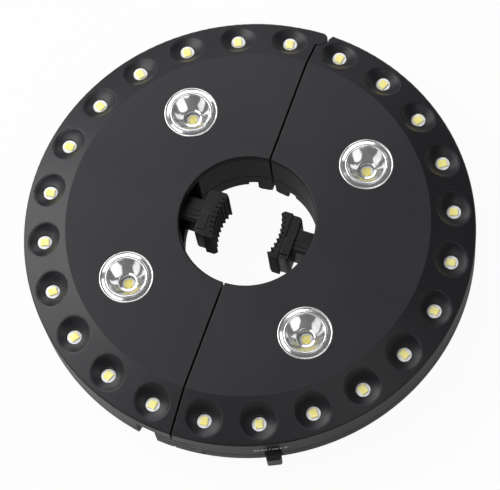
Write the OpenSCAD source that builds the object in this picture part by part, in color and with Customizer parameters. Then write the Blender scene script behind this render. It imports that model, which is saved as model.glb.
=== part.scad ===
// Cordless ring light for a patio umbrella pole.
// Two half-ring housings close round the pole: a hinge pin at the +Y end of the split, a
// swinging latch at the -Y end, and a sprung toothed jaw in each half that grips the pole.
// Millimetres. Z = 0 is the plane of the feet, +Z the lit face, the pole axis is X = Y = 0.

/* [Housing] */
// Outside diameter of the closed ring
outer_d = 200; // [196:1:212]
// Height from the feet to the flat face
overall_h = 36; // [35.5:0.5:40]
// Diameter of the pole hole
pole_hole_d = 60; // [58:0.5:61]
// Gap between the two halves
split_gap = 1.0; // [0.6:0.1:1.4]
// Wall thickness of the covers
wall = 2.0; // [1.6:0.1:2.2]
// Width of the sloping light band round the flat face
band_w = 19.7; // [19:0.1:21]
// Drop of the light band from the flat face to the rim
band_drop = 8.35; // [7.8:0.05:8.8]
// Height of the joint line between front and back covers
parting_h = 14.3; // [13.8:0.1:14.8]
// Height of the back face above the feet
back_h = 7.5; // [7:0.1:7.8]

/* [Lights] */
// Number of small lights in each half
ring_lights = 12; // [8:1:12]
// Distance from the rim to the circle of small lights
ring_light_in = 9.5; // [9.2:0.1:10]
// Depth of the small lights below the flat face
ring_light_depth = 7.7; // [7.4:0.1:8]
// Diameter of the mouth of each dimple
dimple_d = 16.6; // [15:0.2:17]
// Depth of each dimple below the sloping band
dimple_depth = 3.5; // [3:0.1:3.6]
// Depth of the small step round the mouth of each dimple
mouth_step = 0.4; // [0.2:0.1:0.6]
// Diameter of the small round lights
ring_light_body_d = 6.3; // [5:0.1:6.6]
// Distance from the rim to the circle of spot lights
spot_in = 41.7; // [40:0.1:44]
// Outside diameter of a spot reflector
reflector_d = 24.1; // [22:0.1:24.6]
// Height of the light board's top below the flat face
board_depth = 9.9; // [9.7:0.1:10.2]
// Thickness of the light board
board_t = 1.2; // [1:0.1:1.6]

/* [Pole jaws] */
// Distance of the jaw block's front face from the pole axis
jaw_line_x = 17.4; // [16.5:0.1:17.8]
// Thickness of the jaw block
jaw_block_t = 4.8; // [4:0.1:5.2]
// Length of the jaw block along the split
jaw_block_w = 21; // [19:0.2:22]
// Height of the pad's top below the flat face
jaw_top_depth = 4.7; // [4.2:0.1:5.4]
// Height of the gripping pad
pad_h = 20.3; // [18:0.1:21]
// Radius of the gripping arc through the tooth tips
grip_r = 24; // [20:0.5:30]
// Number of gripping teeth on each pad
pad_teeth = 9; // [7:1:9]
// Spacing of the gripping teeth
tooth_pitch = 2.34; // [2.1:0.02:2.4]
// Distance of the arc's middle from the pole axis
grip_mid_x = 14.3; // [13.8:0.1:14.8]
// Width of the neck behind each block
neck_w = 10.6; // [9.6:0.1:11.2]
// Travel of each jaw away from the pole
jaw_travel = 10; // [8:0.5:10]

/* [Batteries] */
// Diameter of an AA cell
cell_d = 14.2; // [13.5:0.1:14.5]
// Length of an AA cell over its contact
cell_len = 50.5; // [49:0.1:50.6]
// Thickness of the seat between the jaw spring and the battery box
spring_seat_t = 2.5; // [2:0.1:3]

/* [Hinge, latch and button] */
// Radius of the hinge knuckles
knuckle_r = 3.8; // [3.4:0.1:4]
// Diameter of the hinge pin
hinge_pin_d = 3.0; // [2.4:0.1:3.2]
// Lower edge of the latch above the feet
latch_low = 9.8; // [9.7:0.1:10.4]
// Upper edge of the latch above the feet
latch_high = 21.3; // [20.6:0.1:21.4]
// Thickness of the latch plate
latch_t = 2.3; // [2:0.1:2.4]
// Direction of the push button round the ring, from +X
button_angle = -64.75; // [-66:0.25:-63]
// Width of the push button
button_w = 6.6; // [5.6:0.1:7.2]
// How far the push button stands out of the rim
button_out = 4.3; // [3:0.1:5]
// Travel of the push button
button_travel = 1.5; // [1:0.1:1.6]

/* [Hooks] */
// Distance of the hook pivots from the split line
hook_x = 15; // [14.5:0.1:16]
// Distance of the hook pivots from the X axis
hook_y = 47; // [46:0.5:50]
// Length of the hook's shank
hook_len = 24; // [20:0.5:26]
// Centreline radius of the hook's bend
hook_bend_r = 7; // [6:0.1:7.5]
// Width of the hook's bar
hook_w = 4; // [3.4:0.1:4.4]

/* [Hidden] */

fine = 180;
round_fn = 64;
small_fn = 32;
eps = 0.01;
fit = 0.05;
gap = 0.3;
beyond = 5;

// housing
outer_r = outer_d / 2;
hole_r = pole_hole_d / 2;
flat_r = outer_r - band_w;
face_z = overall_h;
edge_r = 0.8;
rim_r = 0.9;
seam = 0.35;
band_angle = atan2(band_drop, outer_r - flat_r);
function band_z(r) = face_z - (r - flat_r) * tan(band_angle);
rim_z = band_z(outer_r - rim_r) - rim_r / cos(band_angle);
skin_top = face_z - wall;
function skin_z(r) = band_z(r) - wall / cos(band_angle);
skin_turn_r = flat_r - (wall / cos(band_angle) - wall) / tan(band_angle);
inner_r = outer_r - wall;
floor_z = back_h + wall;
half_gap = split_gap / 2;

// lights
ring_light_r = outer_r - ring_light_in;
light_pitch = 180 / ring_lights;
light_angles = [for (i = [0:ring_lights - 1]) 90 - light_pitch * (i + 0.5)];
light_z = face_z - ring_light_depth;
dimple_r = dimple_d / 2;
bowl_r = (dimple_r * dimple_r + dimple_depth * dimple_depth) / (2 * dimple_depth);
bowl_lift = bowl_r - dimple_depth;
mouth_r = ring_light_r - 0.2;
bowl_mid_r = mouth_r + bowl_lift * sin(band_angle);
bowl_mid_z = band_z(mouth_r) + bowl_lift * cos(band_angle);
bowl_wall = 1.2;
light_hole_r = ring_light_body_d / 2 + gap;
sleeve_r = light_hole_r + 1.4;
board_top = face_z - board_depth;
board_low = board_top - board_t;
spot_r = outer_r - spot_in;
spot_angles = [45, -45];
spot_light_h = 1.1;
chip_t = 0.55;
board_in_r = spot_r - 8.3;
board_out_r = ring_light_r + ring_light_body_d / 2 + 0.5;
rim_proud = 0.4;
seat_depth = 1.6;
seat_r = reflector_d / 2 + 0.1;
throat_r = reflector_d / 2 - 1.5;
seat_wall = 1.8;
peg_r = 1.2;
peg_ring_r = outer_r - 19;
peg_angles = [60, 0.5, -60];

// jaws
jaw_back_x = jaw_line_x + jaw_block_t;
jaw_top = face_z - jaw_top_depth;
pad_low = jaw_top - pad_h;
block_low = pad_low + 2.8;
neck_top = jaw_top - 1.3;
neck_low = block_low + 2.2;
neck_mid_z = (neck_top + neck_low) / 2;
guide_x = jaw_back_x + jaw_travel + 1;
guide_len = 4.4;
flange_x = guide_x + guide_len + gap;
flange_t = 3;
flange_w = 18;
seat_x = flange_x + flange_t + jaw_travel + gap;
spring_wire = 0.8;
spring_d = 7;
spring_bore_r = spring_d / 2 + 0.3;
spring_start_x = jaw_back_x + 4.3;
peg_len = 5;
pocket_w = jaw_block_w + 3.4;
pocket_low = block_low - 1;
pocket_top = jaw_top + 1.7;
rail_top = neck_low - 0.1;

// batteries
door_t = 2;
cell_z = door_t + gap + cell_d / 2;
cell_step = cell_d / 2 + 0.5;
bay_w = 2 * cell_step + cell_d + 1.7;
bay_len = cell_len + 6.7;
bay_top = cell_z + cell_d / 2 + gap;
bay_x = seat_x + spring_seat_t + wall;
battery_x = bay_x + bay_w / 2;
box_r = 3;
contact_t = 0.5;
contact_wire = 0.7;
contact_tip_r = 2.2;
contact_foot_r = 4.2;
door_clear = 0.2;
tongue = 1;

// hinge
hinge_y = outer_r - knuckle_r;
knuckle_gap = 0.6;
knuckle_fill = 7.5;
mid_knuckle_low = parting_h + gap;
mid_knuckle_high = parting_h + 5.7;
hinge_pin_low = back_h + 1.2;
hinge_pin_high = band_z(hinge_y) - 1.6;

// latch
latch_out_r = outer_r - 0.1;
latch_in_r = latch_out_r - latch_t;
latch_tip = -94.8;
latch_pivot_angle = -82.9;
latch_root = latch_pivot_angle;
latch_pivot_r = outer_r - 2.1;
latch_knuckle_r = 2;
latch_pin_r = 1;
recess_r = latch_in_r - 0.5;
recess_floor_r = recess_r - 3.6;
tooth_in_r = latch_in_r - 1.7;
tooth_from = -93.8;
tooth_to = -92.4;
tooth_low = latch_low + 3.4;
tooth_high = latch_high - 3.4;
tooth_room = 0.4;
tooth_play = 0.65;
tooth_turn = 0.4;
finger_angle = -100;
block_to = -102;
notch_wall = 0.9;
function past_split(a) = -180 - a;

// button
button_z = 14.05;
button_h = 8.5;
button_flange_x = outer_r - 4.1;
button_flange_z = floor_z + 1.5;
switch_len = 9;
switch_w = 12;
switch_h = 8;

// screws
function polar(r, a) = [r * cos(a), r * sin(a)];
screw_posts = [for (m = [1, -1]) for (q = [[hole_r + 10, 62], [outer_r - 25.3, 69.6]])
    polar(q[0], m * q[1])];
post_r = 3.2;
post_low = back_h + 4.5;
screw_seat = 2.5;
screw_shank_r = 1.45;
screw_head_r = 2.8;
screw_len = 10;

// hooks
hook_z = 4.2;
hook_t = 3.6;
barrel_r = 2.4;
barrel_w = 5;
ear_t = 2;
hook_pin_r = 1;
hook_pin_len = barrel_w + 2 * ear_t + 0.4;

shell_colour = "#3b3a3f";
dark_colour = "#2b2b2e";

// The right-hand shape, or its mirror image for the left half
module on_side(s) {
    if (s > 0) children();
    else mirror([1, 0, 0]) children();
}

module ring(r0, r1, z0, z1, a0 = -90, a1 = 90) {
    rotate_extrude(angle = a1 - a0, start = a0, $fn = fine)
        translate([r0, z0]) square([r1 - r0, z1 - z0]);
}

// Everything on the +X side of the split, from a distance off the split line
module half_space(from_x) {
    translate([from_x, -outer_r - beyond, -beyond])
        cube([outer_r + 2 * beyond, 2 * (outer_r + beyond), face_z + 2 * beyond]);
}

module at_light(i) {
    rotate([0, 0, light_angles[i]]) translate([ring_light_r, 0, 0]) children();
}

module at_spot(i) {
    rotate([0, 0, spot_angles[i]]) translate([spot_r, 0, 0]) children();
}

module at_button() {
    rotate([0, 0, button_angle]) children();
}

module post_at(p, z0, z1, r) {
    translate([p[0], p[1], z0]) cylinder(r = r, h = z1 - z0, $fn = round_fn);
}

module at_latch_pivot() {
    rotate([0, 0, latch_pivot_angle]) translate([latch_pivot_r, 0, 0]) children();
}

// ---------------------------------------------------------------- front covers

// Section of the front cover's outside, with rounded hole edge and rim edge
module front_outline() {
    rim_x = outer_r - rim_r;
    groove_z = face_z - 2.2;
    groove = 0.35;
    polygon([
        [hole_r + seam, parting_h], [hole_r, parting_h + seam],
        [hole_r, groove_z - groove], [hole_r + groove, groove_z],
        [hole_r, groove_z + groove], [hole_r, face_z - edge_r],
        [hole_r + edge_r, face_z], [flat_r, face_z],
        [rim_x + rim_r * sin(band_angle), rim_z + rim_r * cos(band_angle)],
        [outer_r, rim_z], [outer_r, parting_h + seam], [outer_r - seam, parting_h]
    ]);
    translate([hole_r + edge_r, face_z - edge_r]) circle(r = edge_r, $fn = round_fn);
    translate([rim_x, rim_z]) circle(r = rim_r, $fn = round_fn);
}

// Section of the space inside the front cover, one wall in from the outside
module front_hollow() {
    polygon([
        [hole_r + wall, parting_h - 1], [hole_r + wall, skin_top], [skin_turn_r, skin_top],
        [inner_r, skin_z(inner_r)], [inner_r, parting_h - 1]
    ]);
}

module front_solid() {
    rotate_extrude($fn = fine) front_outline();
}

module bowls(extra) {
    for (a = light_angles) rotate([0, 0, a])
        translate([bowl_mid_r, 0, bowl_mid_z]) sphere(r = bowl_r + extra, $fn = round_fn);
}

// The small upright step round each dimple's mouth
module mouth_steps() {
    for (a = light_angles) rotate([0, 0, a])
        translate([mouth_r, 0, band_z(mouth_r)]) rotate([0, band_angle, 0])
            translate([0, 0, -mouth_step])
                cylinder(r = dimple_r, h = mouth_step + 1, $fn = round_fn);
}

// The plain half shell with its split wall, cups, sleeves, spot seats and posts
module front_cover_body() {
    intersection() {
        half_space(half_gap);
        front_solid();
        union() {
            difference() {
                front_solid();
                rotate_extrude($fn = fine) front_hollow();
            }
            translate([half_gap, -outer_r, parting_h])
                cube([wall, 2 * outer_r, face_z - parting_h]);
            difference() {
                bowls(bowl_wall);
                translate([0, 0, board_top - 5]) cylinder(r = outer_r, h = 5, $fn = fine);
            }
            for (i = [0:ring_lights - 1]) at_light(i)
                translate([0, 0, board_top]) cylinder(r = sleeve_r, h = 4, $fn = round_fn);
            for (i = [0, 1]) at_spot(i)
                translate([0, 0, skin_top - 2.2])
                    cylinder(r = seat_r + seat_wall, h = 3, $fn = round_fn);
        }
    }
    for (p = screw_posts) post_at(p, post_low, skin_top + 1, post_r);
    for (a = peg_angles) rotate([0, 0, a])
        translate([peg_ring_r, 0, board_low - 0.6])
            cylinder(r = peg_r, h = skin_z(peg_ring_r) + 1 - board_low, $fn = small_fn);
}

module front_cover(s) {
    color(shell_colour) on_side(s) difference() {
        union() {
            front_cover_body();
            hinge_fill(parting_h, face_z) front_solid();
            latch_block(parting_h, latch_high + 2) front_solid();
            if (s < 0) knuckle_top();
            else knuckle_middle();
        }
        bowls(0);
        mouth_steps();
        for (i = [0:ring_lights - 1]) at_light(i)
            translate([0, 0, board_top - 1]) cylinder(r = light_hole_r, h = 8, $fn = round_fn);
        for (i = [0, 1]) at_spot(i) {
            translate([0, 0, face_z - seat_depth])
                cylinder(r = seat_r, h = seat_depth + 1, $fn = round_fn);
            translate([0, 0, face_z - 8]) cylinder(r = throat_r, h = 9, $fn = round_fn);
        }
        jaw_pocket();
        battery_box(gap);
        for (p = screw_posts) post_at(p, post_low - 1, post_low + screw_len, screw_shank_r + fit);
        if (s < 0) hinge_notch(parting_h - 1, mid_knuckle_high + gap);
        else hinge_notch(mid_knuckle_high, face_z + 1);
        if (s > 0) hinge_notch(parting_h - 1, mid_knuckle_low);
        hinge_bore();
        latch_recess(s);
        if (s > 0) button_window();
        wire_slot();
    }
}

// ---------------------------------------------------------------- hinge

// Solid corner that carries the knuckles, trimmed to the outside of its cover
module hinge_fill(z0, z1) {
    intersection() {
        children();
        half_space(half_gap);
        translate([0, hinge_y, z0]) cylinder(r = knuckle_fill, h = z1 - z0, $fn = round_fn);
    }
}

module knuckle_top() {
    intersection() {
        front_solid();
        translate([0, hinge_y, mid_knuckle_high + gap])
            cylinder(r = knuckle_r, h = face_z - mid_knuckle_high, $fn = round_fn);
    }
}

module knuckle_middle() {
    translate([0, hinge_y, mid_knuckle_low])
        cylinder(r = knuckle_r, h = mid_knuckle_high - mid_knuckle_low, $fn = round_fn);
}

module knuckle_low() {
    intersection() {
        back_solid();
        translate([0, hinge_y, back_h])
            cylinder(r = knuckle_r, h = parting_h - back_h, $fn = round_fn);
    }
}

// Room for the other half's knuckle, with the corner beyond it cut back
module hinge_notch(z0, z1) {
    translate([0, 0, z0]) linear_extrude(z1 - z0) {
        translate([0, hinge_y]) circle(r = knuckle_r + knuckle_gap, $fn = round_fn);
        polygon([
            [0, hinge_y], [knuckle_r + knuckle_gap, hinge_y + 1.2],
            [knuckle_r + 1.9, outer_r + 0.3], [0, outer_r + 1]
        ]);
    }
}

module hinge_bore() {
    translate([0, hinge_y, hinge_pin_low])
        cylinder(d = hinge_pin_d + 2 * fit, h = hinge_pin_high + 0.1 - hinge_pin_low,
                 $fn = round_fn);
}

module wire_slot() {
    translate([-1, outer_r - 18, parting_h + 2]) cube([wall + 2, 5, 3]);
}

module hinge_pin() {
    color("silver") translate([0, hinge_y, hinge_pin_low])
        cylinder(d = hinge_pin_d, h = hinge_pin_high - hinge_pin_low, $fn = round_fn);
}

// ---------------------------------------------------------------- back covers

module back_outline() {
    corner_r = 1.7;
    polygon([
        [hole_r, back_h], [outer_r - corner_r, back_h], [outer_r, back_h + corner_r],
        [outer_r, parting_h - seam], [outer_r - seam, parting_h],
        [hole_r + seam, parting_h], [hole_r, parting_h - seam]
    ]);
    translate([outer_r - corner_r, back_h + corner_r]) circle(r = corner_r, $fn = round_fn);
}

module back_hollow() {
    polygon([
        [hole_r + wall, floor_z], [inner_r - 1, floor_z], [inner_r, floor_z + 1],
        [inner_r, parting_h + 1], [hole_r + wall, parting_h + 1]
    ]);
}

module back_solid() {
    rotate_extrude($fn = fine) back_outline();
}

// A box with upright rounded corners
module rounded_box(x0, y0, z0, x1, y1, z1, r) {
    translate([x0 + r, y0, z0]) cube([x1 - x0 - 2 * r, y1 - y0, z1 - z0]);
    translate([x0, y0 + r, z0]) cube([x1 - x0, y1 - y0 - 2 * r, z1 - z0]);
    for (x = [x0 + r, x1 - r]) for (y = [y0 + r, y1 - r])
        translate([x, y, z0]) cylinder(r = r, h = z1 - z0, $fn = round_fn);
}

module battery_box(extra) {
    side = wall + extra;
    rounded_box(bay_x - side, -bay_len / 2 - side, -extra, bay_x + bay_w + side,
                bay_len / 2 + side, bay_top + side, box_r);
}

module battery_bay() {
    translate([bay_x, -bay_len / 2, -1]) cube([bay_w, bay_len, bay_top + 1]);
    // the door leaves under the outer wall, its tongues in grooves of the side walls
    translate([bay_x + 1.3, -bay_len / 2 - tongue, door_t / 2 - 0.15])
        cube([bay_w + wall, bay_len + 2 * tongue, door_t / 2 + 0.3]);
    translate([bay_x + bay_w - eps, -bay_len / 2, -1]) cube([wall + 1, bay_len, door_t + 1.15]);
}

module split_foot() {
    foot_len = 14;
    foot_w = 6.5;
    bevel = 1.4;
    for (m = [0, 1]) mirror([0, m, 0]) difference() {
        translate([half_gap + gap, hole_r - 1, 0]) rotate([90, 0, 0]) mirror([0, 0, 1])
            linear_extrude(foot_len) polygon([
                [0, bevel], [bevel, 0], [foot_w - bevel, 0], [foot_w, bevel],
                [foot_w, floor_z], [0, floor_z]
            ]);
        translate([0, 0, -1]) cylinder(r = hole_r, h = floor_z + 2, $fn = fine);
    }
}

module jaw_guide() {
    rail_w = 3;
    for (m = [0, 1]) mirror([0, m, 0]) {
        translate([guide_x, neck_w / 2 - 1, back_h + 1])
            cube([seat_x + 1 - guide_x, rail_w, rail_top - back_h - 1]);
        translate([guide_x, neck_w / 2 + 0.2, back_h + 1])
            cube([guide_len, rail_w, neck_top - 1 - back_h]);
    }
    // seat of the jaw spring, with its peg
    translate([seat_x, -7, back_h + 1]) cube([bay_x - wall + 1 - seat_x, 14, neck_top - back_h]);
    translate([seat_x + 0.5, 0, neck_mid_z]) rotate([0, -90, 0])
        cylinder(d = spring_d - 2 * spring_wire - 0.6, h = peg_len + 0.5, $fn = round_fn);
}

module hook_ears() {
    for (m = [-1, 1]) translate([hook_x, hook_y + m * (barrel_w / 2 + 0.2 + ear_t / 2), 0]) {
        translate([0, ear_t / 2, hook_z]) rotate([90, 0, 0])
            cylinder(r = barrel_r + 0.2, h = ear_t, $fn = round_fn);
        translate([-barrel_r - 0.2, -ear_t / 2, hook_z])
            cube([2 * barrel_r + 0.4, ear_t, floor_z - 0.5 - hook_z]);
    }
}

module hook_pin_bore() {
    translate([hook_x, hook_y + hook_pin_len / 2 + 1, hook_z]) rotate([90, 0, 0])
        cylinder(r = hook_pin_r + fit, h = hook_pin_len + 2, $fn = small_fn);
}

// Turned half round for the left half, so that the lamp hangs level
module hook_turn(s) {
    if (s > 0) children();
    else mirror([0, 1, 0]) children();
}

module back_cover_body(s) {
    collar_t = 3;
    collar_drop = 2.2;
    collar_to = 68;
    difference() {
        union() {
            intersection() {
                half_space(half_gap);
                union() {
                    difference() {
                        back_solid();
                        rotate_extrude($fn = fine) back_hollow();
                    }
                    intersection() {
                        back_solid();
                        translate([half_gap, -outer_r, back_h])
                            cube([wall, 2 * outer_r, parting_h - back_h]);
                    }
                }
            }
            ring(hole_r, hole_r + collar_t, back_h - collar_drop, back_h + 1, -collar_to,
                 collar_to);
            battery_box(0);
            split_foot();
            jaw_guide();
            hook_turn(s) hook_ears();
            for (p = screw_posts) post_at(p, back_h + 0.5, post_low, post_r + 1.3);
            hinge_fill(back_h, parting_h) back_solid();
            latch_block(back_h, parting_h) back_solid();
            if (s < 0) knuckle_low();
        }
        battery_bay();
        jaw_pocket();
        hook_turn(s) hook_pin_bore();
        for (p = screw_posts) {
            post_at(p, back_h - 1, back_h + screw_seat, screw_head_r + 0.3);
            post_at(p, back_h, post_low + 1, screw_shank_r + 0.25);
        }
        if (s > 0) hinge_notch(back_h - 3, parting_h + 1);
        hinge_bore();
        latch_recess(s);
        if (s > 0) button_window();
    }
}

module back_cover(s) {
    color(shell_colour) on_side(s) back_cover_body(s);
}

// ---------------------------------------------------------------- pole jaws

// Window in the pole collar through which the jaw block slides back
module jaw_pocket() {
    translate([hole_r - 6, -pocket_w / 2, pocket_low])
        cube([wall + 7, pocket_w, pocket_top - pocket_low]);
}

// Plan of a block with its two back corners rounded
module round_backed(x0, depth, y0, y1, r) {
    translate([x0, y0]) square([depth - r, y1 - y0]);
    translate([x0, y0 + r]) square([depth, y1 - y0 - 2 * r]);
    for (y = [y0 + r, y1 - r]) translate([x0 + depth - r, y]) circle(r = r, $fn = small_fn);
}

module jaw_arm(s) {
    rib_depth = 0.6;
    rib_w = 0.8;
    panel_h = 0.5;
    panel_end = 2.4;
    bevel = 0.5;
    corner = 1.9;
    color(shell_colour) on_side(s) difference() {
        union() {
            // block with rounded back corners and bevelled long edges
            intersection() {
                translate([jaw_line_x, jaw_block_w / 2, 0]) rotate([90, 0, 0])
                    linear_extrude(jaw_block_w) polygon([
                        [0, block_low], [jaw_block_t - bevel, block_low],
                        [jaw_block_t, block_low + bevel],
                        [jaw_block_t, jaw_top - panel_h - bevel],
                        [jaw_block_t - bevel, jaw_top - panel_h], [0, jaw_top - panel_h]
                    ]);
                translate([0, 0, block_low]) linear_extrude(jaw_top - block_low)
                    round_backed(jaw_line_x, jaw_block_t, -jaw_block_w / 2, jaw_block_w / 2,
                                 corner);
            }
            // raised panel on the half next to the latch, with a lower strip beyond it
            translate([0, 0, jaw_top - panel_h - 0.1]) {
                linear_extrude(panel_h + 0.1)
                    round_backed(jaw_line_x + 0.4, jaw_block_t - 0.8,
                                 -jaw_block_w / 2 + panel_end, -0.3, 0.7);
                translate([jaw_line_x + 0.9, -jaw_block_w / 2 + 0.7, 0])
                    cube([jaw_block_t - 2.6, 0.9, panel_h - 0.1]);
            }
            translate([jaw_back_x - 1, -neck_w / 2, neck_low])
                cube([flange_x + flange_t + 1 - jaw_back_x, neck_w, neck_top - neck_low]);
            translate([flange_x, -flange_w / 2, neck_low])
                cube([flange_t, flange_w, neck_top - neck_low]);
        }
        // slot between the panel and the strip
        translate([jaw_line_x + 0.7, -jaw_block_w / 2 + panel_end - 0.7, jaw_top - 1.4])
            cube([jaw_block_t - 1.6, 0.6, 2]);
        // grooves along the neck's top
        for (y = [-0.4, -2.8]) translate([jaw_back_x, y - rib_w / 2, neck_top - rib_depth])
            cube([flange_x - jaw_back_x, rib_w, rib_depth + 1]);
        translate([jaw_back_x, -neck_w / 2 - 1, neck_top - 1.2])
            cube([flange_x - jaw_back_x, 2, 2]);
        // bore for the jaw spring
        translate([spring_start_x, 0, neck_mid_z]) rotate([0, 90, 0])
            cylinder(r = spring_bore_r, h = 40, $fn = round_fn);
        pad_key(fit);
    }
}

// Rib on the back of the pad that seats in a slot of the block
module pad_key(extra) {
    key_w = 6;
    key_h = 12;
    translate([jaw_line_x - 0.5, -key_w / 2 - extra, block_low + 2.4 - extra])
        cube([2.3, key_w + 2 * extra, key_h + 2 * extra]);
}

module jaw_pad(s) {
    half_w = jaw_block_w / 2 + 0.5;
    tip_y = (pad_teeth - 1) / 2 * tooth_pitch;
    scallop_r = 0.95;
    pin_hole_r = 0.4;
    notch_at = [for (i = [0.5:1:pad_teeth - 1.5]) i * tooth_pitch - tip_y];
    arc_x = grip_mid_x - grip_r;
    function tip_x(y) = arc_x + sqrt(grip_r * grip_r - y * y);
    color(dark_colour) on_side(s) difference() {
        translate([0, 0, pad_low]) linear_extrude(pad_h) difference() {
            polygon([
                [jaw_line_x, half_w], [tip_x(tip_y) + 1.3, half_w], [tip_x(tip_y), tip_y + 0.4],
                [tip_x(tip_y) - 1, 0], [tip_x(tip_y), -tip_y - 0.4],
                [tip_x(tip_y) + 1.3, -half_w], [jaw_line_x, -half_w]
            ]);
            translate([arc_x, 0]) circle(r = grip_r, $fn = fine);
            for (y = notch_at) translate([tip_x(y), y]) circle(r = scallop_r, $fn = round_fn);
        }
        // pin holes behind the notches
        for (y = notch_at) translate([tip_x(y) + scallop_r + 0.75, y, jaw_top - 2])
            cylinder(r = pin_hole_r, h = 3, $fn = small_fn);
    }
    color(dark_colour) on_side(s) pad_key(0);
}

// A wire of round section wound about +X: coils of one radius, or tapering to another
module coil(r0, r1, wire, length, turns) {
    steps = round(turns * 14);
    sides = 6;
    pts = [for (i = [0:steps]) for (k = [0:sides - 1])
        let (t = i / steps, a = 360 * turns * t, r = r0 + (r1 - r0) * t,
             q = 360 * (k + 0.5) / sides, d = r + wire / 2 * cos(q))
        [wire / 2 + (length - wire) * t + wire / 2 * sin(q) * 0.98, d * cos(a), d * sin(a)]];
    rings = [for (i = [0:steps - 1]) for (k = [0:sides - 1])
        [i * sides + k, i * sides + (k + 1) % sides,
         (i + 1) * sides + (k + 1) % sides, (i + 1) * sides + k]];
    first = [for (k = [0:sides - 1]) sides - 1 - k];
    last = [for (k = [0:sides - 1]) steps * sides + k];
    polyhedron(points = pts, faces = concat([first], rings, [last]));
}

module jaw_spring(s) {
    mean_r = (spring_d - spring_wire) / 2;
    color("silver") on_side(s) translate([spring_start_x, 0, neck_mid_z])
        coil(mean_r, mean_r, spring_wire, seat_x - spring_start_x, 9);
}

// ---------------------------------------------------------------- lights

module light_board(s) {
    clear = 0.5;
    notch_w = flange_w + 10;
    notch_from = board_in_r - 5;
    color("#e9ebe6") on_side(s) difference() {
        intersection() {
            half_space(half_gap + wall + clear);
            ring(board_in_r, board_out_r, board_low, board_top);
        }
        translate([notch_from, -notch_w / 2, board_low - 1])
            cube([bay_x + 0.3 - notch_from, notch_w, board_t + 2]);
        for (p = screw_posts) post_at(p, board_low - 1, board_top + 1, post_r + clear);
        translate([0, hinge_y, board_low - 1])
            cylinder(r = knuckle_fill + clear, h = board_t + 2, $fn = round_fn);
        for (a = peg_angles) rotate([0, 0, a]) translate([peg_ring_r, 0, board_low - 1])
            cylinder(r = peg_r + fit, h = board_t + 2, $fn = small_fn);
    }
}

module light_bodies(s) {
    color("white") on_side(s) {
        for (i = [0:ring_lights - 1]) at_light(i)
            translate([0, 0, board_top])
                cylinder(d = ring_light_body_d, h = light_z - chip_t - board_top,
                         $fn = round_fn);
        for (i = [0, 1]) at_spot(i)
            translate([0, 0, board_top]) cylinder(d = 6, h = spot_light_h, $fn = round_fn);
    }
}

module light_chips(s) {
    chip_w = 3.7;
    chip_l = 3.1;
    spot_chip_w = 3.6;
    spot_chip_l = 3.9;
    spot_turn = 20;
    color("#f3eb9c") on_side(s) {
        for (i = [0:ring_lights - 1]) at_light(i)
            translate([-chip_w / 2, -chip_l / 2, light_z - chip_t])
                cube([chip_w, chip_l, chip_t]);
        for (i = [0, 1]) at_spot(i) rotate([0, 0, s * spot_turn])
            translate([-spot_chip_w / 2, -spot_chip_l / 2, board_top + spot_light_h])
                cube([spot_chip_w, spot_chip_l, chip_t]);
    }
}

// Centre of the arc of radius r from point a up to point b that bulges away from the axis
function arc_centre(a, b, r) = let (d = (b - a) / 2)
    (a + b) / 2 + sqrt(r * r / (d * d) - 1) * [-d[1], d[0]];

// Plated cup: rounded outer rim, flat ring, bead round the mouth, and a curved bowl that ends
// in a collar round the spot light
module spot_reflectors(s) {
    rr = reflector_d / 2;
    lip = 0.45;
    foot_r = 4.8;
    light_r = 3.4;
    collar_r = 4.2;
    collar_z = 3.7 - board_depth;
    bowl_wall_w = 1.1;
    mouth_r = rr - 3.6;
    bead_r = 0.5;
    groove_z = -0.25;
    ring_z = 0.25;
    seat_in_r = throat_r - 0.2;
    back_z = -2.4;
    bowl_curve_r = 24;
    color("#d9dadd") on_side(s) for (i = [0, 1]) at_spot(i) translate([0, 0, face_z])
        rotate_extrude($fn = fine) {
            difference() {
                polygon([
                    [rr, -seat_depth], [rr, rim_proud - lip], [rr - lip, rim_proud],
                    [rr - 0.65, rim_proud - 0.1], [rr - 0.8, groove_z], [rr - 1, groove_z],
                    [rr - 1.1, ring_z - 0.15], [rr - 2.25, ring_z], [rr - 2.35, groove_z],
                    [rr - 2.6, groove_z], [mouth_r, groove_z], [collar_r, collar_z],
                    [collar_r + bowl_wall_w, collar_z], [rr - 2.4, back_z], [seat_in_r, back_z],
                    [seat_in_r, -seat_depth]
                ]);
                translate(arc_centre([collar_r, collar_z], [mouth_r, groove_z], bowl_curve_r))
                    circle(r = bowl_curve_r, $fn = fine);
            }
            polygon([
                [light_r, -board_depth], [foot_r, -board_depth],
                [collar_r + bowl_wall_w, collar_z], [collar_r, collar_z + 0.15],
                [light_r, collar_z]
            ]);
            translate([rr - lip, rim_proud - lip]) circle(r = lip, $fn = small_fn);
            translate([mouth_r + bead_r, rim_proud - bead_r]) circle(r = bead_r, $fn = small_fn);
        }
}

// ---------------------------------------------------------------- batteries

// One cell lies towards +Y and its neighbour the other way
module at_cell(k) {
    translate([battery_x + (k - 0.5) * 2 * cell_step, 0, cell_z])
        mirror([0, k, 0]) translate([0, bay_len / 2 - contact_t, 0]) children();
}

module battery_cells(s) {
    nub_r = 2.75;
    nub_l = 1.2;
    color("#6f8f6a") on_side(s) for (k = [0, 1]) at_cell(k) rotate([90, 0, 0]) {
        translate([0, 0, nub_l]) cylinder(d = cell_d, h = cell_len - nub_l, $fn = round_fn);
        cylinder(r = nub_r, h = nub_l + 0.1, $fn = small_fn);
    }
}

module battery_springs(s) {
    color("silver") on_side(s) for (k = [0, 1]) at_cell(k)
        translate([0, -cell_len, 0]) rotate([0, 0, -90])
            coil(contact_tip_r, contact_foot_r, contact_wire,
                 bay_len - 2 * contact_t - cell_len, 3);
}

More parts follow.
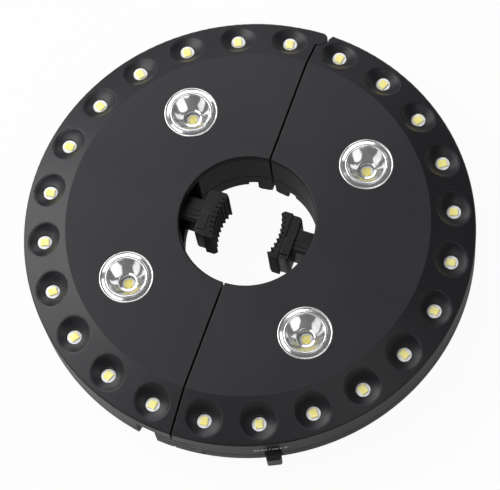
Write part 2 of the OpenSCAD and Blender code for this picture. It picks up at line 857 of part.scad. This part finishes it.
module battery_contacts(s) {
    plate_w = 9.6;
    color("gainsboro") on_side(s) for (k = [0, 1]) at_cell(k) {
        translate([-plate_w / 2, 0, -plate_w / 2]) cube([plate_w, contact_t, plate_w]);
        translate([-plate_w / 2, -bay_len + contact_t, -plate_w / 2])
            cube([plate_w, contact_t, plate_w]);
    }
}

module battery_door(s) {
    grip_pitch = 2.4;
    color(shell_colour) on_side(s) difference() {
        union() {
            translate([bay_x + door_clear, -bay_len / 2 + door_clear, 0])
                cube([bay_w + wall - door_clear, bay_len - 2 * door_clear, door_t]);
            translate([bay_x + 1.3 + door_clear, -bay_len / 2 - tongue + door_clear, door_t / 2])
                cube([bay_w + wall - 1.3 - 4, bay_len + 2 * (tongue - door_clear), door_t / 2]);
        }
        for (i = [0:4]) translate([bay_x + bay_w - 3 - i * grip_pitch, -9, -1])
            cube([1.2, 18, 1.5]);
    }
}

// ---------------------------------------------------------------- hooks

module hook(s) {
    top = hook_z + hook_t / 2;
    low = hook_z - hook_t / 2;
    color(shell_colour) on_side(s) hook_turn(s) difference() {
        union() {
            translate([hook_x, hook_y + barrel_w / 2, hook_z]) rotate([90, 0, 0])
                cylinder(r = barrel_r, h = barrel_w, $fn = round_fn);
            translate([hook_x, hook_y - hook_w / 2, low]) cube([hook_len, hook_w, hook_t]);
            translate([hook_x + hook_len, hook_y + hook_bend_r, low])
                rotate_extrude(angle = 180, start = -90, $fn = fine)
                    translate([hook_bend_r - hook_w / 2, 0]) square([hook_w, hook_t]);
            translate([hook_x + hook_len - 5, hook_y + 2 * hook_bend_r - hook_w / 2, low])
                cube([5, hook_w, hook_t]);
            translate([hook_x + hook_len - 5, hook_y + 2 * hook_bend_r, low])
                cylinder(d = hook_w, h = hook_t, $fn = round_fn);
        }
        hook_pin_bore();
    }
}

module hook_pin(s) {
    color("silver") on_side(s) hook_turn(s)
        translate([hook_x, hook_y + hook_pin_len / 2, hook_z]) rotate([90, 0, 0])
            cylinder(r = hook_pin_r, h = hook_pin_len, $fn = small_fn);
}

// ---------------------------------------------------------------- screws

module housing_screws(s) {
    head_h = 2;
    slot_len = 3.2;
    slot_w = 0.7;
    seat_z = back_h + screw_seat;
    color("silver") on_side(s) for (p = screw_posts) difference() {
        union() {
            post_at(p, seat_z - head_h, seat_z, screw_head_r);
            post_at(p, seat_z - 0.1, post_low + screw_len - 1, screw_shank_r);
        }
        for (a = [0, 90]) translate([p[0], p[1], seat_z - head_h - eps]) rotate([0, 0, a])
            translate([-slot_len / 2, -slot_w / 2, -1]) cube([slot_len, slot_w, 2]);
    }
}

// ---------------------------------------------------------------- latch

// Thickened rim behind the latch
module latch_block(z0, z1) {
    intersection() {
        children();
        half_space(half_gap);
        ring(recess_floor_r, outer_r, z0, z1, block_to, past_split(block_to));
    }
}

// The recess, in the right half from the split to the pivot, in the left to the finger notch
module latch_recess(s) {
    z0 = latch_low - 0.25;
    z1 = latch_high + 0.25;
    if (s > 0) {
        ring(recess_r, outer_r + 1, z0, z1, latch_tip, latch_root);
        at_latch_pivot() translate([0, 0, z0])
            cylinder(r = latch_knuckle_r + 0.6, h = z1 - z0, $fn = round_fn);
        at_latch_pivot() translate([0, 0, back_h + 0.8])
            cylinder(r = latch_pin_r + fit, h = latch_high + 1.6 - back_h - 0.8, $fn = small_fn);
    } else {
        // mirrored, so angles run the other way round from the split
        tip = past_split(latch_tip);
        ring(recess_r, outer_r + 1, z0, z1, latch_tip, tip + 0.3);
        ring(recess_floor_r + notch_wall, outer_r + 1, back_h - 1, z1, tip,
             past_split(finger_angle));
        ring(tooth_in_r - tooth_room, outer_r, tooth_low - tooth_play, tooth_high + tooth_play,
             past_split(tooth_to) - tooth_turn, past_split(tooth_from) + tooth_turn);
    }
}

module latch() {
    groove = 0.7;
    groove_w = 0.9;
    color(shell_colour) difference() {
        union() {
            ring(latch_in_r, latch_out_r, latch_low, latch_high, latch_tip, latch_root);
            ring(tooth_in_r, latch_in_r + 1, tooth_low, tooth_high, tooth_from, tooth_to);
            at_latch_pivot() translate([0, 0, latch_low])
                cylinder(r = latch_knuckle_r, h = latch_high - latch_low, $fn = round_fn);
        }
        for (z = [parting_h - 0.2, latch_high - 2.6])
            ring(latch_out_r - groove, outer_r + 1, z, z + groove_w, latch_tip - 1,
                 latch_root - 1);
        at_latch_pivot() translate([0, 0, 0])
            cylinder(r = latch_pin_r + fit, h = overall_h, $fn = small_fn);
    }
}

module latch_pin() {
    color("silver") at_latch_pivot() translate([0, 0, back_h + 0.8])
        cylinder(r = latch_pin_r, h = latch_high + 1.4 - back_h - 0.8, $fn = small_fn);
}

// ---------------------------------------------------------------- push button

module button_window() {
    clear = 0.35;
    at_button() translate([outer_r - 6, -button_w / 2 - clear, button_z - button_h / 2 - 0.25])
        cube([8, button_w + 2 * clear, button_h + 0.5]);
}

module push_button() {
    corner = 1.2;
    edge = 0.6;
    guard_t = 1.5;
    guard_w = button_w + 2.6;
    tip = outer_r + button_out;
    low = button_z - button_h / 2;
    high = button_z + button_h / 2;
    color(dark_colour) at_button() {
        intersection() {
            translate([0, 0, low]) linear_extrude(button_h)
                round_backed(button_flange_x, tip - button_flange_x, -button_w / 2,
                             button_w / 2, corner);
            translate([0, button_w / 2, 0]) rotate([90, 0, 0]) linear_extrude(button_w) polygon([
                [button_flange_x, low], [tip - edge, low], [tip, low + edge],
                [tip, high - edge], [tip - edge, high], [button_flange_x, high]
            ]);
        }
        // ridge across the top for the fingertip
        translate([tip - 2.2, button_w / 2 - 0.6, high - 0.05]) rotate([90, 0, 0])
            cylinder(r = 0.35, h = button_w - 1.2, $fn = small_fn);
        translate([button_flange_x, -guard_w / 2, button_flange_z])
            cube([guard_t, guard_w, high - button_flange_z]);
    }
}

module switch_plunger() {
    color("ivory") at_button() translate([button_flange_x, 0, button_z]) rotate([0, -90, 0])
        cylinder(r = 1.5, h = 6.5, $fn = small_fn);
}

module switch_body() {
    body_x = button_flange_x - button_travel - 0.4;
    color(dark_colour) at_button() difference() {
        translate([body_x - switch_len, -switch_w / 2, floor_z])
            cube([switch_len, switch_w, switch_h]);
        translate([body_x + 1, 0, button_z]) rotate([0, -90, 0])
            cylinder(r = 1.6, h = 8.3, $fn = small_fn);
    }
}

// ---------------------------------------------------------------- the pieces

front_cover(-1);  // front_cover_left
front_cover(1);  // front_cover_right
back_cover(-1);  // back_cover_left
back_cover(1);  // back_cover_right
light_board(-1);  // light_board_left
light_board(1);  // light_board_right
light_bodies(-1);  // light_bodies_left
light_bodies(1);  // light_bodies_right
light_chips(-1);  // light_chips_left
light_chips(1);  // light_chips_right
spot_reflectors(-1);  // spot_reflectors_left
spot_reflectors(1);  // spot_reflectors_right
jaw_arm(-1);  // jaw_arm_left
jaw_arm(1);  // jaw_arm_right
jaw_pad(-1);  // jaw_pad_left
jaw_pad(1);  // jaw_pad_right
jaw_spring(-1);  // jaw_spring_left
jaw_spring(1);  // jaw_spring_right
battery_cells(-1);  // battery_cells_left
battery_cells(1);  // battery_cells_right
battery_springs(-1);  // battery_springs_left
battery_springs(1);  // battery_springs_right
battery_contacts(-1);  // battery_contacts_left
battery_contacts(1);  // battery_contacts_right
battery_door(-1);  // battery_door_left
battery_door(1);  // battery_door_right
hook(-1);  // hook_left
hook(1);  // hook_right
hook_pin(-1);  // hook_pin_left
hook_pin(1);  // hook_pin_right
housing_screws(-1);  // housing_screws_left
housing_screws(1);  // housing_screws_right
hinge_pin();
latch();
latch_pin();
push_button();
switch_plunger();
switch_body();
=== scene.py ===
"""Looks of the patio umbrella light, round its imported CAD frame.

Every shape that carries load or moves is a CAD node and keeps its mesh. This script gives each
node a procedural material, adds the print over the push button, and sets up the floor, the
studio lights and the camera of the photograph. Names that end in _mm and lengths in comments
are millimetres; places and sizes that go straight to Blender are metres.
"""

import math

import bpy
import numpy as np
from mathutils import Matrix, Vector


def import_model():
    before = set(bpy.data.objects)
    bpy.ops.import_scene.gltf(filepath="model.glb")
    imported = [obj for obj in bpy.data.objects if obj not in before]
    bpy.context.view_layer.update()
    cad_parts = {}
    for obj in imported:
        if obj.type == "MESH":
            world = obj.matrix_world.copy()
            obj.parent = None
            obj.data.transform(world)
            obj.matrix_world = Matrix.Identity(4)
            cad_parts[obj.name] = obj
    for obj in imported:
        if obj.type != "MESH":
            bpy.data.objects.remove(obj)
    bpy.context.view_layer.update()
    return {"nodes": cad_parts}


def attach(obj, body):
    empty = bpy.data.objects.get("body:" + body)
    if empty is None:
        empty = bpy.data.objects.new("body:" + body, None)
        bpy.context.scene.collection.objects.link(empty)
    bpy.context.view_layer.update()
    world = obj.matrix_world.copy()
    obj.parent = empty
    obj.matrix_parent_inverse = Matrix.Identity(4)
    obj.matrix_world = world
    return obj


MM = 0.001
SIDES = ("left", "right")

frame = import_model()

# places on the CAD frame that materials and print line up with
RIM_MM = 100.0                    # outer radius of the housings
SPOT_MM = 58.3 / math.sqrt(2)     # spot lights' axes, out along both X and Y
SPOTS_WITHIN_MM = 75              # radius between the spot lights and the ring lights
BORE_MM = 30.9                    # the wall of the pole hole lies inside this radius


# ------------------------------------------------------------------ helpers

def srgb(text):
    """Linear RGBA of a colour written as sRGB hex."""
    out = []
    for k in (0, 2, 4):
        v = int(text[k:k + 2], 16) / 255
        out.append(v / 12.92 if v <= 0.04045 else ((v + 0.055) / 1.055) ** 2.4)
    return (*out, 1.0)


WHITE = srgb("ffffff")


def add_object(name, data):
    """Puts new data into the scene as an object."""
    item = bpy.data.objects.new(name, data)
    bpy.context.scene.collection.objects.link(item)
    return item


class Nodes:
    """A material's node tree, built with one small call for each node."""

    def __init__(self, name):
        self.material = bpy.data.materials.new(name)
        self.material.use_nodes = True
        self.tree = self.material.node_tree
        self.tree.nodes.clear()
        self.column = 0

    def add(self, kind, inputs=None, **settings):
        node = self.tree.nodes.new("ShaderNode" + kind)
        self.column += 1
        node.location = (self.column * 190, -(self.column % 4) * 160)
        for key, value in settings.items():
            setattr(node, key, value)
        for key, value in (inputs or {}).items():
            self.put(node.inputs[key], value)
        return node

    def put(self, socket, value):
        """Links a socket to another one, or sets it to a constant."""
        if isinstance(value, bpy.types.NodeSocket):
            self.tree.links.new(value, socket)
        else:
            socket.default_value = value

    def place(self):
        """Object coordinates: every node and piece has its object at the frame's origin."""
        return self.add("TexCoord").outputs["Object"]

    def noise(self, vector, size_mm, detail=2.0, rough=0.5, distort=0.0):
        node = self.add("TexNoise", {"Vector": vector, "Scale": 1 / (size_mm * MM),
                                     "Detail": detail, "Roughness": rough,
                                     "Distortion": distort})
        return node.outputs["Fac"]

    def cells(self, vector, size_mm, feature="F1"):
        """Distance to the middles of scattered cells, for grains and pits."""
        inputs = {"Vector": vector, "Scale": 1 / (size_mm * MM)}
        return self.add("TexVoronoi", inputs, feature=feature).outputs["Distance"]

    def ramp(self, fac, *stops):
        """A colour ramp through (position, colour) stops; a plain number is a grey."""
        node = self.add("ValToRGB", {"Fac": fac})
        items = node.color_ramp.elements
        for k, (at, colour) in enumerate(stops):
            item = items[k] if k < 2 else items.new(at)
            item.position = at
            item.color = colour if isinstance(colour, tuple) else (colour, colour, colour, 1)
        return node.outputs["Color"]

    def math(self, operation, *values, clamp=False):
        node = self.add("Math", operation=operation, use_clamp=clamp)
        for socket, value in zip(node.inputs, values):
            self.put(socket, value)
        return node.outputs[0]

    def vector_math(self, operation, *values):
        return self.add("VectorMath", dict(enumerate(values)), operation=operation)

    def radius(self, at):
        """Distance from the pole axis."""
        flat = self.vector_math("MULTIPLY", at, (1, 1, 0)).outputs[0]
        return self.vector_math("LENGTH", flat).outputs["Value"]

    def span(self, value, from_ends, to_ends):
        """Maps a value from one span onto another and holds it at the ends."""
        node = self.add("MapRange", {"Value": value, "From Min": from_ends[0],
                                     "From Max": from_ends[1], "To Min": to_ends[0],
                                     "To Max": to_ends[1]})
        return node.outputs["Result"]

    def mix(self, fac, a, b):
        node = self.add("Mix", data_type="RGBA", blend_type="MIX")
        for socket, value in ((0, fac), (6, a), (7, b)):
            self.put(node.inputs[socket], value)
        return node.outputs[2]

    def edge(self, radius_mm, open_face=0.995, full_edge=0.90):
        """Rounded-edge normal, and a mask that is 1 on edges and 0 on open faces.

        The mask grows as the rounded normal turns from the face's own: open_face and full_edge
        are the cosines between the two.
        """
        soft = self.add("Bevel", {"Radius": radius_mm * MM}, samples=6).outputs["Normal"]
        flat = self.add("NewGeometry").outputs["Normal"]
        cosine = self.vector_math("DOT_PRODUCT", soft, flat).outputs["Value"]
        return soft, self.span(cosine, (open_face, full_edge), (0.0, 1.0))

    def bump(self, height, depth_mm, strength=1.0, normal=None):
        inputs = {"Height": height, "Distance": depth_mm * MM, "Strength": strength}
        if normal is not None:
            inputs["Normal"] = normal
        return self.add("Bump", inputs).outputs["Normal"]

    def gel_square(self, at, turn=25, long_mm=3.9, wide_mm=3.6):
        """1 inside the upright square of gel on each spot light, 0 elsewhere.

        The four spots are folded onto one: offsets from a spot's middle, turned half round
        where the fold mirrors them.
        """
        split = self.add("SeparateXYZ", {"Vector": at})
        x, y = split.outputs["X"], split.outputs["Y"]
        flip = self.math("SIGN", self.math("MULTIPLY", x, y))
        u, v = (self.math("SUBTRACT", self.math("ABSOLUTE", k), SPOT_MM * MM) for k in (x, y))
        local = self.add("CombineXYZ", {"X": u, "Y": self.math("MULTIPLY", v, flip)}).outputs[0]
        turned = self.add("Mapping", {"Vector": local, "Rotation": (0, 0, -math.radians(turn))})
        parts = self.add("SeparateXYZ", {"Vector": turned.outputs[0]})
        inside = [self.math("LESS_THAN", self.math("ABSOLUTE", parts.outputs[k]), w / 2 * MM)
                  for k, w in (("X", wide_mm), ("Y", long_mm))]
        return self.math("MULTIPLY", *inside)

    def spot_zone(self, at):
        """1 inboard of the ring lights, where the only lights are the four spots."""
        return self.math("LESS_THAN", self.radius(at), SPOTS_WITHIN_MM * MM)

    def surface(self, shader):
        """Ends the tree in this shader output."""
        self.put(self.add("OutputMaterial").inputs["Surface"], shader)
        return self.material

    def finish(self, **inputs):
        """The shader: constants are set on its own sockets, so that an export keeps them."""
        named = {key.replace("_", " "): value for key, value in inputs.items()}
        return self.surface(self.add("BsdfPrincipled", named).outputs["BSDF"])


def paint(material, *nodes):
    """Gives CAD nodes one material in every slot."""
    for name in nodes:
        mesh = frame["nodes"][name]
        if not mesh.material_slots:
            mesh.data.materials.append(material)
        for item in mesh.material_slots:
            item.material = material


def both(*stems):
    return [f"{stem}_{side}" for stem in stems for side in SIDES]


# ------------------------------------------------------------------ materials

def moulded(name, dark, light, wear_and_highlight, rough, grain_mm, grain_depth_mm, edge_mm=0.25,
            sheen=0.4, bore_mm=None):
    """Moulded plastic: a slow drift of tone, a spark-eroded grain, and edges painted paler,
    partly as rubbed wear and partly as a painted highlight.

    Handling varies the roughness a little round rough. Within bore_mm of the pole axis the
    sheen falls to 0.45 times its level, as painted shade on the wall of the pole hole.
    """
    handling, bore_shade, fade_mm = 0.12, 0.45, 0.5
    n = Nodes(name)
    at = n.place()
    drift = n.noise(at, 42, 3)
    speckle = n.noise(at, 0.9, 2)
    tone = n.mix(n.ramp(drift, (0.35, 0.0), (0.68, 1.0)), srgb(dark), srgb(light))
    tone = n.mix(n.math("MULTIPLY", speckle, 0.05), tone, srgb(wear_and_highlight))
    soft, edges = n.edge(edge_mm)
    # edges painted paler: partly rubbed wear, partly a painted highlight along the edges
    rubbed_and_highlit = n.math("MULTIPLY", edges, n.math("MULTIPLY", n.noise(at, 5, 3), 0.85))
    tone = n.mix(rubbed_and_highlit, tone, srgb(wear_and_highlight))
    # pits of the eroded mould face, then a slow flow waviness
    pits = n.cells(at, grain_mm, "SMOOTH_F1")
    fine = n.noise(at, grain_mm * 0.6, 3, 0.6)
    height = n.math("ADD", n.math("MULTIPLY", pits, 0.6), fine)
    normal = n.bump(height, grain_depth_mm, 1.0, soft)
    normal = n.bump(n.noise(at, 18, 2), 0.05, 0.4, normal)
    handled = n.math("MULTIPLY_ADD", n.noise(at, 23, 4), handling, rough - handling / 2)
    level = sheen
    # painted shade: the sheen is lowered on the wall of the pole hole, where little light
    # reaches
    if bore_mm is not None:
        level = n.span(n.radius(at), ((bore_mm - fade_mm) * MM, bore_mm * MM),
                       (sheen * bore_shade, sheen))
    return n.finish(Base_Color=tone, Roughness=handled, Normal=normal, IOR=1.5,
                    Specular_IOR_Level=level)


def rubber():
    """Matt black rubber: dusty bloom in patches, and the crests painted paler as a soft
    highlight.
    """
    n = Nodes("black_rubber")
    at = n.place()
    bloom = n.ramp(n.noise(at, 3.2, 4, 0.6), (0.42, 0.0), (0.75, 0.35))
    tone = n.mix(bloom, srgb("0e0e10"), srgb("222125"))
    soft, edges = n.edge(0.3)
    # painted highlight: the crests and edges are painted paler
    tone = n.mix(n.math("MULTIPLY", edges, 0.35), tone, srgb("3d3c42"))
    normal = n.bump(n.noise(at, 0.35, 3, 0.6), 0.02, 0.8, soft)
    return n.finish(Base_Color=tone, Roughness=0.62, Normal=normal, IOR=1.5,
                    Specular_IOR_Level=0.28)


def plated():
    """Vacuum-plated plastic: a mirror whose skin waves slightly, under a thin milky haze."""
    n = Nodes("vacuum_plated_reflector")
    at = n.place()
    haze = n.ramp(n.noise(at, 6, 3), (0.4, 0.0), (0.7, 1.0))
    tone = n.mix(haze, srgb("eeeeef"), srgb("dededf"))
    rough = n.math("MULTIPLY_ADD", haze, 0.05, 0.07)
    wave = n.bump(n.noise(at, 4.0, 2, 0.45, 0.4), 0.05, 0.35)
    wave = n.bump(n.noise(at, 0.9, 2), 0.004, 0.4, wave)
    return n.finish(Base_Color=tone, Metallic=0.9, Roughness=rough, Normal=wave)


def package():
    """White moulded light body, slightly glossy and unevenly white, gel on the spot lights."""
    n = Nodes("white_light_body")
    at = n.place()
    tone = n.mix(n.ramp(n.noise(at, 1.4, 3), (0.3, 0.0), (0.8, 1.0)), srgb("fafafc"),
                 srgb("e8e9f0"))
    tone = n.mix(n.gel_square(at), tone, srgb("fbec7c"))
    soft, _ = n.edge(0.25)
    normal = n.bump(n.noise(at, 0.3, 2), 0.006, 0.6, soft)
    return n.finish(Base_Color=tone, Roughness=0.32, Normal=normal, IOR=1.52,
                    Subsurface_Weight=0.15, Subsurface_Radius=(0.6 * MM, 0.6 * MM, 0.5 * MM))


def phosphor():
    """Phosphor gel over the chip: fine grains in pale yellow silicone under a clear skin.

    The ring lights' gel has a faint painted glow of pale yellow light of its own. On the spot
    lights the chip is bare white outside the gel's upright square, and doesn't glow.
    """
    glow = 0.11
    n = Nodes("yellow_phosphor_gel")
    at = n.place()
    grains = n.cells(at, 0.16)
    tone = n.mix(n.ramp(grains, (0.1, 0.0), (0.8, 1.0)), srgb("fff48c"), srgb("f8e66c"))
    tone = n.mix(n.ramp(n.noise(at, 1.6, 2), (0.35, 0.0), (0.7, 0.6)), tone, srgb("fffac8"))
    spots = n.spot_zone(at)
    bare = n.math("MULTIPLY", spots, n.math("SUBTRACT", 1.0, n.gel_square(at)))
    tone = n.mix(bare, tone, srgb("f1f1f6"))
    # painted glow: the ring lights' gel gives off a little yellow light of its own
    painted_glow = n.math("MULTIPLY", n.math("SUBTRACT", 1.0, spots), glow)
    soft, _ = n.edge(0.3)
    normal = n.bump(grains, 0.01, 0.5, soft)
    return n.finish(Base_Color=tone, Roughness=0.38, Normal=normal, IOR=1.45,
                    Coat_Weight=0.5, Coat_Roughness=0.12, Subsurface_Weight=0.2,
                    Emission_Color=srgb("fffcb0"), Emission_Strength=painted_glow,
                    Subsurface_Radius=(0.5 * MM, 0.4 * MM, 0.15 * MM))


def metal(name, pale, deep, rough, along=(1, 1, 1)):
    """Drawn or ground steel: streaks, stretched where along is under 1, and dull patches."""
    n = Nodes(name)
    at = n.place()
    stretched = n.add("Mapping", {"Vector": at, "Scale": along}).outputs["Vector"]
    streaks = n.noise(stretched, 0.4, 3, 0.6)
    dull = n.ramp(n.noise(at, 3, 3), (0.4, 0.0), (0.75, 1.0))
    tone = n.mix(streaks, srgb(pale), srgb(deep))
    level = n.math("MULTIPLY_ADD", dull, 0.14, rough)
    soft, _ = n.edge(0.15)
    normal = n.bump(streaks, 0.006, 0.6, soft)
    return n.finish(Base_Color=tone, Metallic=1.0, Roughness=level, Normal=normal)


def board():
    """Circuit board: white solder mask that dips between the copper fields."""
    n = Nodes("white_solder_mask")
    at = n.place()
    field_mm = 9
    tracks = n.add("TexBrick", {"Vector": at, "Scale": 1 / (field_mm * MM), "Mortar Size": 0.05,
                                "Color1": WHITE, "Color2": WHITE,
                                "Mortar": (0, 0, 0, 1)}).outputs["Fac"]
    tone = n.mix(tracks, srgb("e9ebe6"), srgb("d3d9d0"))
    tone = n.mix(n.ramp(n.noise(at, 7, 3), (0.5, 0.0), (0.8, 0.4)), tone, srgb("dcdcd2"))
    normal = n.bump(tracks, 0.03, 0.6)
    return n.finish(Base_Color=tone, Roughness=0.35, Normal=normal, IOR=1.5)


def cell_sleeve():
    """Shrink sleeve of a plain AA cell: green, with a pale band and a dark end at both tips.

    The bands are shares of half the battery box, out from its middle along Y.
    """
    half_mm = 28
    green, pale, dark = srgb("3f6a48"), srgb("cdd2c6"), srgb("2b3a30")
    n = Nodes("printed_cell_sleeve")
    at = n.place()
    out_along = n.math("ABSOLUTE", n.add("SeparateXYZ", {"Vector": at}).outputs["Y"])
    band = n.ramp(n.math("MULTIPLY", out_along, 1 / (half_mm * MM)), (0.0, green),
                  (0.60, green), (0.61, pale), (0.70, pale), (0.71, dark))
    tone = n.mix(n.math("MULTIPLY", n.noise(at, 2, 3), 0.25), band, srgb("1d2721"))
    normal = n.bump(n.noise(at, 5, 3), 0.05, 0.5)
    return n.finish(Base_Color=tone, Roughness=0.28, Normal=normal, Coat_Weight=0.4)


def plastic(name, pale, deep, rough):
    """Small plain mouldings inside the part."""
    n = Nodes(name)
    at = n.place()
    tone = n.mix(n.ramp(n.noise(at, 4, 3), (0.35, 0.0), (0.7, 1.0)), srgb(pale), srgb(deep))
    soft, _ = n.edge(0.2)
    normal = n.bump(n.noise(at, 0.4, 2), 0.01, 0.6, soft)
    return n.finish(Base_Color=tone, Roughness=rough, Normal=normal, IOR=1.5)


def ink():
    """Pad-printed white ink, thin enough for the dark plastic to show in its pinholes."""
    n = Nodes("white_pad_print")
    at = n.place()
    holes = n.ramp(n.noise(at, 0.35, 3, 0.7), (0.24, 1.0), (0.38, 0.0))
    tone = n.mix(holes, srgb("f0eff2"), srgb("8b8a90"))
    return n.finish(Base_Color=tone, Roughness=0.55, IOR=1.5)


shell = moulded("dark_abs_shell", dark="131117", light="19181d", wear_and_highlight="67666c", rough=0.41,
                grain_mm=0.55, grain_depth_mm=0.030, bore_mm=BORE_MM)
jaw_plastic = moulded("dark_abs_jaw", dark="0a090c", light="100f12", wear_and_highlight="66656b", rough=0.33,
                      grain_mm=0.50, grain_depth_mm=0.016, edge_mm=0.35, sheen=0.34)
button_plastic = moulded("black_button_plastic", dark="0c0c0d", light="121213", wear_and_highlight="55555a",
                         rough=0.36, grain_mm=0.45, grain_depth_mm=0.012, edge_mm=0.4)
wire = metal("bright_spring_wire", "c9c9cc", "a2a2a6", rough=0.20)
pin_steel = metal("ground_pin_steel", "c2c2c5", "9b9ba0", rough=0.24, along=(1, 1, 0.08))
zinc = metal("zinc_screw", "b9bbc0", "8d9096", rough=0.32)
nickel = metal("nickel_contact", "cfccc4", "aaa69c", rough=0.26, along=(1, 0.1, 1))

paint(shell, *both("front_cover", "back_cover", "battery_door", "hook"), "latch")
paint(jaw_plastic, *both("jaw_arm"))
paint(rubber(), *both("jaw_pad"))
paint(plated(), *both("spot_reflectors"))
paint(package(), *both("light_bodies"))
paint(phosphor(), *both("light_chips"))
paint(board(), *both("light_board"))
paint(wire, *both("jaw_spring", "battery_springs"))
paint(pin_steel, "hinge_pin", "latch_pin", *both("hook_pin"))
paint(zinc, *both("housing_screws"))
paint(nickel, *both("battery_contacts"))
paint(cell_sleeve(), *both("battery_cells"))
paint(button_plastic, "push_button")
paint(plastic("ivory_plunger", "d9d2bd", "c9c0a8", rough=0.4), "switch_plunger")
paint(plastic("black_switch_case", "19191a", "232324", rough=0.35), "switch_body")


# ------------------------------------------------------------------ print over the button

def rim_print(name, words, body, angle, height_mm, letter_mm, stroke_mm, stretch, proud_mm):
    """Flat lettering wrapped on the rim: the text's X becomes arc length and its Y height.

    angle is the middle of the words round the pole axis in degrees, stroke_mm thickens every
    line on each side, stretch widens the words, and proud_mm is the ink's place off the rim.
    """
    curve = bpy.data.curves.new(name + "_curve", "FONT")
    curve.body = words
    curve.size = letter_mm * MM
    curve.offset = stroke_mm * MM
    curve.align_x = "CENTER"
    curve.align_y = "CENTER"
    curve.space_character = 1.25
    text = add_object(name + "_text", curve)
    bpy.context.view_layer.update()
    mesh = bpy.data.meshes.new_from_object(text)
    bpy.data.objects.remove(text)
    bpy.data.curves.remove(curve)
    flat = np.empty(len(mesh.vertices) * 3)
    mesh.vertices.foreach_get("co", flat)
    flat = flat.reshape(-1, 3)
    radius = (RIM_MM + proud_mm) * MM
    turn = math.radians(angle) + flat[:, 0] * stretch / radius
    wrapped = np.stack([radius * np.cos(turn), radius * np.sin(turn),
                        height_mm * MM + flat[:, 1]], axis=1)
    mesh.vertices.foreach_set("co", wrapped.ravel())
    mesh.update()
    mesh.name = name
    mesh.materials.clear()
    mesh.materials.append(ink())
    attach(add_object(name, mesh), body)


rim_print("on_off_print", "ON/OFF", "right_half", angle=-65.2, height_mm=20.4, letter_mm=2.6,
          stroke_mm=0.06, stretch=1.35, proud_mm=0.02)


# ------------------------------------------------------------------ stage, lights, camera

def paper(to_eye=0.95, to_metal=0.15):
    """White studio paper: shaded paper, with plain white blended in for the eye and for metal.

    to_eye and to_metal are the shares of plain white. The blend leaves a soft share of the
    object's shadow on the paper.
    """
    n = Nodes("white_paper")
    at = n.place()
    tone = n.mix(n.math("MULTIPLY", n.noise(at, 60, 2), 0.04), srgb("e8e8e8"), srgb("dedede"))
    shaded = n.add("BsdfDiffuse", {"Color": tone, "Roughness": 0.4}).outputs[0]
    white = n.add("Emission", {"Color": WHITE, "Strength": 1.0}).outputs[0]
    path = n.add("LightPath").outputs
    seen = n.math("ADD", n.math("MULTIPLY", path["Is Camera Ray"], to_eye),
                  n.math("MULTIPLY", path["Is Glossy Ray"], to_metal))
    seen = n.math("ADD", seen, path["Is Transmission Ray"], clamp=True)
    return n.surface(n.add("MixShader", {0: seen, 1: shaded, 2: white}).outputs[0])


def floor(half=3.0, steps=60, bend_from=1.6, bend=0.6):
    """A wide white sheet in the plane of the feet, curved up far behind the object."""
    u = np.linspace(-half, half, steps)
    gx, gy = np.meshgrid(u, u, indexing="ij")
    gz = np.where(gy > bend_from, (gy - bend_from) ** 2 * bend, 0.0)
    points = np.stack([gx, gy, gz], axis=2).reshape(-1, 3)
    idx = np.arange(steps * steps).reshape(steps, steps)
    quads = np.stack([idx[:-1, :-1], idx[1:, :-1], idx[1:, 1:], idx[:-1, 1:]],
                     axis=2).reshape(-1, 4)
    mesh = bpy.data.meshes.new("floor")
    mesh.from_pydata(points.tolist(), [], quads.tolist())
    mesh.polygons.foreach_set("use_smooth", [True] * len(quads))
    mesh.materials.append(paper())
    add_object("floor", mesh)


def softbox(name, at, size, power):
    """A rectangular studio light that faces the middle of the object."""
    target = Vector((0, 0, 0.02))
    data = bpy.data.lights.new(name, "AREA")
    data.shape = "RECTANGLE"
    data.size, data.size_y = size
    data.energy = power
    item = add_object(name, data)
    item.location = at
    item.rotation_mode = "QUATERNION"
    item.rotation_quaternion = (target - Vector(at)).to_track_quat("-Z", "Y")


def world(level):
    """Even, dim studio surround."""
    surround = bpy.data.worlds.new("studio")
    bpy.context.scene.world = surround
    surround.use_nodes = True
    tree = surround.node_tree
    tree.nodes.clear()
    even = tree.nodes.new("ShaderNodeBackground")
    even.inputs["Color"].default_value = WHITE
    even.inputs["Strength"].default_value = level
    out = tree.nodes.new("ShaderNodeOutputWorld")
    tree.links.new(even.outputs[0], out.inputs["Surface"])


def camera():
    """The photograph's camera, fitted to the rim, the hole and the lights.

    Its azimuth turns from -Y towards +X. across and up place the middle of the fit, a point on
    the pole axis, in the picture.
    """
    azimuth, elevation, roll = (math.radians(a) for a in (30.199, 68.602, -11.398))
    across, up, away = -0.727 * MM, 7.935 * MM, 1025.12 * MM
    centre = Vector((0, 0, 28.3 * MM))
    back = Vector((math.sin(azimuth) * math.cos(elevation),
                   -math.cos(azimuth) * math.cos(elevation), math.sin(elevation)))
    x = Vector((0, 0, 1)).cross(back).normalized()
    y = back.cross(x)
    right = math.cos(roll) * x + math.sin(roll) * y
    top = -math.sin(roll) * x + math.cos(roll) * y
    data = bpy.data.cameras.new("photo_camera")
    data.lens = 167.46
    data.sensor_width = 36
    data.clip_start, data.clip_end = 0.05, 20
    item = add_object("photo_camera", data)
    place = Matrix((right, top, back)).transposed().to_4x4()
    place.translation = centre - right * across - top * up + back * away
    item.matrix_world = place
    bpy.context.scene.camera = item


# each studio light: name, place, width and height in metres, watts
LIGHTS = (
    ("left_softbox", (-0.97, 0.00, 0.62), (0.9, 1.0), 10.3),
    ("back_softbox", (-0.60, 0.70, 1.00), (0.9, 0.6), 4.6),
    ("low_back_softbox", (-0.35, 1.05, 0.75), (0.9, 0.6), 1.3),
    ("left_panel", (-0.55, -0.26, 1.02), (0.86, 0.86), 3.8),
    ("right_panel", (0.47, -0.22, 0.99), (0.62, 0.60), 1.6),
)

floor()
world(0.12)
for light in LIGHTS:
    softbox(*light)
camera()
bpy.context.scene.view_settings.view_transform = "Standard"
